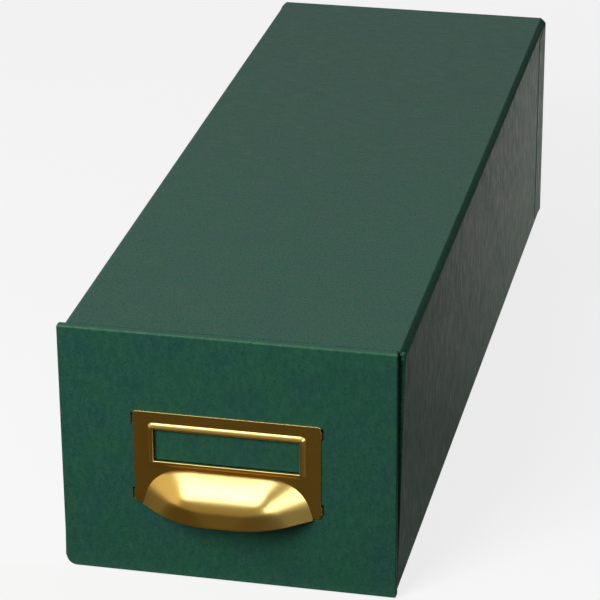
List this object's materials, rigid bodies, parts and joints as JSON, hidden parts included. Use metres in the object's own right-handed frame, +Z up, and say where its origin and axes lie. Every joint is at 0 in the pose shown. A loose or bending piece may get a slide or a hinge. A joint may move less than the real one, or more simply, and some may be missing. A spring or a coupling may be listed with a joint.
{
  "type": "index card drawer",
  "caption": "Covered cardboard index card drawer: a sleeve closed at the back and a sliding tray with a flat front panel and a brass label pull.",
  "frame": {"origin": "middle of the sleeve's underside, on the surface it stands on", "axes": "+X to the right as seen from the front, +Y along the sleeve towards its closed back, +Z up"},
  "size_m": [0.1156, 0.3537, 0.0903],
  "materials": {
    "green_cover": "dark green coated covering paper, fine grained, satin",
    "greyboard": "bare greyboard with flecks of fibre, matt",
    "lining_paper": "plain off-white lining paper, matt",
    "brass": "stamped brass-plated steel, satin"
  },
  "bodies": {
    "sleeve": {"sleeve_top_board": "greyboard", "sleeve_bottom_board": "greyboard", "sleeve_left_board": "greyboard", "sleeve_right_board": "greyboard", "sleeve_back_board": "greyboard", "sleeve_cover": "green_cover", "sleeve_base_cover": "green_cover", "sleeve_back_cover": "green_cover"},
    "drawer": {"front_panel_board": "greyboard", "front_panel_cover": "green_cover", "tray_bottom_board": "greyboard", "tray_left_board": "greyboard", "tray_right_board": "greyboard", "tray_front_board": "greyboard", "tray_back_board": "greyboard", "tray_cover": "green_cover", "tray_lining": "lining_paper", "pull_plate": "brass"}
  },
  "joints": [
    {"name": "drawer_slide", "type": "slide", "parent": "sleeve", "child": "drawer", "axis": [0, -1, 0], "range_m": [0, 0.3]}
  ]
}
